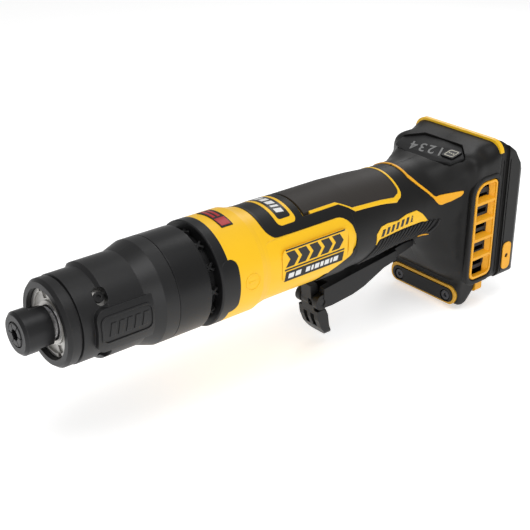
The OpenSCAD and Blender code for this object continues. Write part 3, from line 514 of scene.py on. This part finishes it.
shell = sheet("handle_shell_left", 96, 72, shell_place, 2.6)
toe = prism("toe", [(309.5, -63), (309.5, -74), (311.5, -77), (316, -78), (320, -77), (331, -65.5),
                    (336.8, -62), (336.8, -58), (312, -56)], -4, 31)
rounding(toe, 0.003)
joined("handle_shell_left", [shell, toe])
knead = shell.modifiers.new("knead", "REMESH")
knead.mode = "VOXEL"
knead.voxel_size = 0.0008
bpy.ops.object.modifier_apply(modifier="knead")
soften = shell.modifiers.new("soften", "SMOOTH")
soften.factor = 0.5
soften.iterations = 14
bpy.ops.object.modifier_apply(modifier="soften")
for s, y, z, push, reach in FOLDS:
    for corner in shell.data.vertices:
        gap = (corner.co.x * 1000 + s) ** 2 + (corner.co.y * 1000 - y) ** 2 + (corner.co.z * 1000 - z) ** 2
        if gap < (3 * reach) ** 2:
            outward = Vector((0, corner.co.y, corner.co.z)).normalized()
            corner.co += outward * push * 0.001 * math.exp(-gap / reach ** 2)
cut(shell, prism("housing_joint", [(190, -40), (201.5, -28.2), (212, -14), (213.5, -8), (213.5, 60),
                                   (190, 60)], -5, 60))
cut(shell, prism("right_half", [(190, -90), (345, -90), (345, 60), (190, 60)], -10, 0))
cut(shell, prism("vent_window", rounded(311.6, 334.4, -56.4, 14.4, (5, 10, 6, 6)), 34.4, 60))
cut(shell, prism("vent_hole", rounded(316, 330, -51, 9, 3), 20, 60))
cut(shell, prism("paddle_slot", [(265.5, -60), (265.5, -18.5), (290.5, -18.5), (290.5, -60)], -8, 8.7))
cut(shell, prism("bumper_seat", rounded(-30.5, 30.5, -76.6, -62.6, 6), 300, 312.4, "X"))
cut(shell, prism("plunger_hole", [(237.5 + 3 * math.cos(0.2618 * k), 3 * math.sin(0.2618 * k))
                                  for k in range(24)], -45, -20, "Z"))
shells = both_sides(shell, grip, ("handle_left", "handle_right"), smooth=35)
dress(nut_black, "shell_screws")


# ------------------------------------------------------------------ housing skirt
# A thin tongue of rubber on each flank that covers the lower rear corner of the
# yellow housing, moulded with the handle and bonded to the housing.
def straight(table, s, column):
    """The table's value at station s, on straight lines between its rows."""
    for a, b in zip(table, table[1:]):
        if s <= b[0]:
            return a[column] + (b[column] - a[column]) * max(0, s - a[0]) / (b[0] - a[0])
    return table[-1][column]


def strip(name, rows, skin, depth, steps, across):
    """A sheet from rows of station, lower level and upper level. skin(s, level) gives its y and z."""
    def place(u, v):
        s = rows[0][0] + u * (rows[-1][0] - rows[0][0])
        low, high = straight(rows, s, 1), straight(rows, s, 2)
        return s, *skin(s, low + v * (high - low))
    return sheet(name, steps, across, place, depth)


SKIRT_ROUND = 29.9


def housing_skin(s, angle):
    turn = math.radians(angle)
    return SKIRT_ROUND * math.cos(turn), SKIRT_ROUND * math.sin(turn)


# station, lower and upper angle round the housing
SKIRT_ROWS = [(190.6, -52, -49), (196, -64, -32), (202, -76, -24.5), (209.3, -60, -16.3), (213.2, -30, -4.5),
              (214, -16, 4)]
skirt = strip("housing_skirt_left", SKIRT_ROWS, housing_skin, 1.2, 24, 16)
both_sides(skirt, grip, smooth=40)


# ------------------------------------------------------------------ flags
# A yellow nylon flag let into each side of the handle behind the housing, with short
# slanted dashes printed along it.
def skin_y(s, z, grow):
    """Half width of the shells at station s and height z."""
    low, high = 0.0, 1.0
    for _ in range(30):
        middle = (low + high) / 2
        if shell_point(s, middle, grow)[1] < z:
            low = middle
        else:
            high = middle
    return shell_point(s, low, grow)[0]


def shell_skin(proud):
    """The skin of a strip that stands proud of the shells, with its levels as heights."""
    return lambda s, z: (skin_y(s, z, proud), z)


dress(yellow, "flags")
DASHES, DASH_PITCH = 8, 4.5
parts = []
for k in range(DASHES):
    # the flag rises a little to the rear, and its last dash sits higher in the tip
    s, z = 235.6 + DASH_PITCH * k, -4.0 + 0.3 * k + (0.8 if k > 6 else 0)
    parts.append(strip("dash", [(s, z, z + 0.1), (s + 1.2, z, z + 4.6), (s + 2.4, z, z + 4.6),
                                (s + 3.6, z + 4.5, z + 4.6)], shell_skin(0.42), 0.5, 12, 4))
both_sides(joined("flag_dashes_left", parts), ink)

# ------------------------------------------------------------------ grip ribs
# Slanted rubber ribs moulded on both flanks below the yellow flag, each one curved
# round the handle and a little shorter than the one before it.
RIBS, RIB_START, RIB_PITCH, RIB_RADIUS, RIB_STEPS = 16, 236.5, 3.55, 0.00095, 8
# past the flag's tip they also start lower
RIB_TOP, RIB_DROP, RIB_TAPER, FLAG_TIP = -5.6, 17.5, 0.55, 12
RIB_LEAN, RIB_CURL = 0.34, 0.012
parts = []
for k in range(RIBS):
    bpy.ops.object.select_all(action="DESELECT")
    bpy.ops.curve.primitive_bezier_curve_add()
    rib = bpy.context.object
    rib.data.splines.remove(rib.data.splines[0])
    line = rib.data.splines.new("POLY")
    line.points.add(RIB_STEPS)
    top = RIB_TOP - RIB_TAPER * max(0, k - FLAG_TIP)
    for step in range(RIB_STEPS + 1):
        z = top - step / RIB_STEPS * (RIB_DROP - RIB_TAPER * k)
        s = RIB_START + RIB_PITCH * k - RIB_LEAN * (top - z) - RIB_CURL * (top - z) ** 2
        line.points[step].co = (-s * 0.001, skin_y(s, z, 0.1) * 0.001, z * 0.001, 1)
    rib.data.bevel_depth = RIB_RADIUS
    rib.data.bevel_resolution = 3
    rib.data.use_fill_caps = True
    bpy.ops.object.convert(target="MESH")
    parts.append(bpy.context.object)
ribs = joined("grip_ribs_left", parts)
bpy.ops.object.transform_apply(location=True, rotation=True, scale=True)
both_sides(ribs, black, ("grip_left", "grip_right"), smooth=40)

# ------------------------------------------------------------------ rear piping
# A yellow line moulded over the handle; on each flank it runs back and down and swells
# into a long patch on the side of the foot. A sliver of it also shows behind the grip.
amber = finish("amber_nylon", (0.86, 0.4, 0.012), rough=0.42, grain=3000, depth=0.12, mottle=0.05,
               metal=0, edge=0.0004, wear_and_highlight=0.1)
PIPING_ROWS = [(271.0, 22.8, 25.2), (272.6, 20.6, 23.9), (276, 16.6, 18.8), (280.5, 12.4, 14.4),
               (284.6, 8.0, 10.0), (286.4, 5.4, 9.0), (288.4, 3.4, 9.4), (290.6, 2.8, 9.6), (297, 4.2, 9.9),
               (303.6, 7.0, 10.3), (305, 8.6, 10.1)]
SLIVER_ROWS = [(279.6, -20.0, -19.4), (281.2, -20.2, -18.8), (285.6, -19.6, -18.6), (286.6, -19.0, -18.8)]
PIPING_START, PIPING_WIDTH, PIPING_ROUND = 271.0, 1.6, 27.25


def over_the_top(u, v):
    # from the flank's upper end, at 56 degrees, to just past the crest
    turn = math.radians(56 + v * 35)
    return PIPING_START + u * PIPING_WIDTH, PIPING_ROUND * math.cos(turn), PIPING_ROUND * math.sin(turn)


piping = strip("rear_piping_left", PIPING_ROWS, shell_skin(0.55), 1.7, 84, 8)
joined("rear_piping_left", [piping, sheet("over_the_top", 2, 48, over_the_top, 1.6)])
rounding(piping, 0.0002, 2, 50)
joined("rear_piping_left", [piping, strip("sliver", SLIVER_ROWS, shell_skin(0.4), 1.0, 12, 2)])
both_sides(piping, amber, ("rear_piping", "rear_piping"), smooth=40)

# ------------------------------------------------------------------ speed deck and button
# A black nylon deck sunk into the slope of the foot, with four printed speed steps
# that are read from behind, and a sprung button with a moulded sign of three dots.
DECK_PLACE, DECK_TILT = (-0.3085, 0, 0.03017), math.radians(11)
DECK = [(-9, -24), (1, -27.5), (11.5, -16), (12.5, 0), (11.5, 16), (1, 27.5), (-9, 24), (-13, 11), (-13.5, 0),
        (-13, -11)]
deck_black = finish("deck_black", (0.008, 0.008, 0.0085), rough=0.62, grain=2600, depth=0.4, mottle=0.2,
                    gloss=0.25)
printed_grey = finish("printed_grey", (0.17, 0.17, 0.17), rough=0.5, wear_and_highlight=0)
sign_cream = finish("sign_cream", (0.62, 0.6, 0.5), rough=0.5, wear_and_highlight=0)


def laid_on_deck(piece):
    """Tilts a piece, drawn flat at the origin, onto the slope of the foot."""
    only(piece)
    piece.rotation_euler = (0, DECK_TILT, 0)
    piece.location = DECK_PLACE
    bpy.ops.object.transform_apply(location=True, rotation=True, scale=True)
    return piece


for half in shells:
    pocket = prism("deck_pocket", [(1.04 * s, 1.03 * y) for s, y in DECK], -2.4, 12, "Z")
    cut(half, laid_on_deck(pocket))
    smoothed(half, 35)
deck = prism("speed_deck", DECK, -2.2, -0.5, "Z")
cut(deck, prism("button_hole", rounded(-5.2, 5.2, 12.3, 22.7, 1.6), -4, 3, "Z"))
rounding(deck, 0.0004)
smoothed(laid_on_deck(deck))
fitted(deck, deck_black, "speed_panel")
FIGURE_SIZE, FIGURE_LEAN, FIGURE_TURN, FIGURE_STRETCH = 0.0108, -0.35, math.radians(-79), (1.05, 1.35, 1)
for figure, s, y in (("1", -0.6, 7.4), ("2", -1.6, 0.4), ("3", -2.6, -6.6), ("4", -3.6, -13.6)):
    bpy.ops.object.text_add()
    step = bpy.context.object
    step.data.body = figure
    step.data.size = FIGURE_SIZE
    step.data.shear = FIGURE_LEAN
    step.data.align_x = "CENTER"
    step.data.align_y = "CENTER"
    step.data.extrude = 0.00006
    step.data.offset = 0.00012
    bpy.ops.object.convert(target="MESH")
    step = bpy.context.object
    step.name = "speed_step_" + figure
    step.rotation_euler = (0, 0, FIGURE_TURN)
    step.scale = FIGURE_STRETCH
    step.location = (-s * 0.001, y * 0.001, -0.00044)
    bpy.ops.object.transform_apply(location=True, rotation=True, scale=True)
    fitted(laid_on_deck(step), printed_grey)
dress(black, "speed_button")
sign = prism("button_sign", rounded(-3.7, 3.7, 13.9, 21.1, 1.4), 0.2, 0.56, "Z")
cut(sign, prism("sign_well", rounded(-3.2, 3.2, 14.4, 20.6, 1.0), 0, 2, "Z"))
fitted(laid_on_deck(sign), sign_cream, body="button_group")
for k, y in enumerate((15.8, 17.5, 19.2)):
    dot = prism("sign_dot_%d" % (k + 1), rounded(-0.55, 0.55, y - 0.55, y + 0.55, 0.54), 0.3, 0.56, "Z")
    fitted(laid_on_deck(dot), sign_cream, body="button_group")

# ------------------------------------------------------------------ vent inserts
# A yellow nylon frame snapped into each flank of the foot, with five cells: sloping
# shelves between them and a slanting wall at the back lead the air to a black grille.
# A soft rim of the shell's rubber stands round it.
insert = prism("vent_insert_left_piece", rounded(312.4, 333.6, -55.6, 13.6, (4, 9, 5, 5)), 34.5, 38)
rounding(insert, 0.0005, angle=60)
cut(insert, prism("frame_hollow", rounded(314.2, 332.0, -53.6, 11.8, (2.6, 7.4, 3.4, 3.4)), 30, 40))
parts = [insert, prism("back_wall", [(332.6, 37.4), (332.6, 34), (329.0, 34)], -54.4, 12.4, "Z")]
CELL_HEIGHT, LOWEST_SHELF = 13.1, -40.4
for k in range(4):
    z = LOWEST_SHELF + CELL_HEIGHT * k
    parts.append(prism("shelf_%d" % k, [(37.7, z - 1.0), (37.7, z + 1.0), (34.0, z + 3.2), (33.2, z + 3.0),
                                        (33.2, z - 0.2)], 313.6, 332.8, "X"))
both_sides(joined("vent_insert_left_piece", parts), amber,
           ("vent_insert_left", "vent_insert_right"), smooth=30)
rim = prism("vent_rim_left", rounded(308.4, 336.0, -59.6, 17.6, (5, 12, 8, 7)), 34.5, 38.2)
cut(rim, prism("rim_hollow", rounded(311.8, 334.0, -56.2, 14.2, (4.6, 9.6, 5.6, 5.6)), 30, 40))
rounding(rim, 0.0009, angle=60)
# the numbered name of the right-hand rim is the one that the part is listed with
for piece in (rim, right_hand(rim, "vent_rim_right.001")):
    smoothed(piece)
    fitted(piece, grip)
dress(black, "vent_grilles")

# ------------------------------------------------------------------ switch and controller
# The electric switch, its grey plunger that the paddle lifts, and the motor's
# electronics on a green board, all held between ribs of the half shells.
grey = finish("button_grey", (0.3, 0.3, 0.29), rough=0.45)
dress(black, "switch_module")
dress(grey, "switch_plunger")
dress(board, "controller")

# ------------------------------------------------------------------ foot strip, toe bumper and tabs
# A yellow strip and tabs moulded on the foot's edge, and a rubber bumper screwed to
# the toe with two zinc-coated screws inside a gold border.
gold = finish("gold_nylon", (0.62, 0.33, 0.03), rough=0.45, grain=3000, depth=0.12, mottle=0.05)
screw_black = finish("screw_black_zinc", (0.045, 0.045, 0.05), rough=0.28, grain=3000, depth=0.1,
                     mottle=0.1, metal=0.6, edge=0.0003, wear_and_highlight=0.3)
dress(yellow, "foot_strip")
dress(amber, "lower_tabs")
dress(grip, "bumper")
dress(gold, "bumper_border")
dress(screw_black, "bumper_screws")

# ------------------------------------------------------------------ battery plate
# The nylon plate that a battery slides onto, with a rail slot on each side, a yellow
# patch on each flank, and a block of brass contacts in its middle.
brass = finish("contact_brass", (0.7, 0.5, 0.22), rough=0.3, grain=2500, depth=0.1, mottle=0.05,
               metal=1)
dress(grip, "battery_plate")
dress(amber, "side_patches")
dress(black, "terminal_block")
dress(brass, "terminals")

# ------------------------------------------------------------------ paddle and lock lever
# A long nylon paddle hinged at its rear on a steel pin, and a lock lever on a pin at
# its front. A torsion spring on each pin pushes it back; pins and springs are blackened.
dress(black, "paddle", "lock_lever")
dress(nut_black, "paddle_pin", "paddle_spring", "lock_pin", "lock_spring")
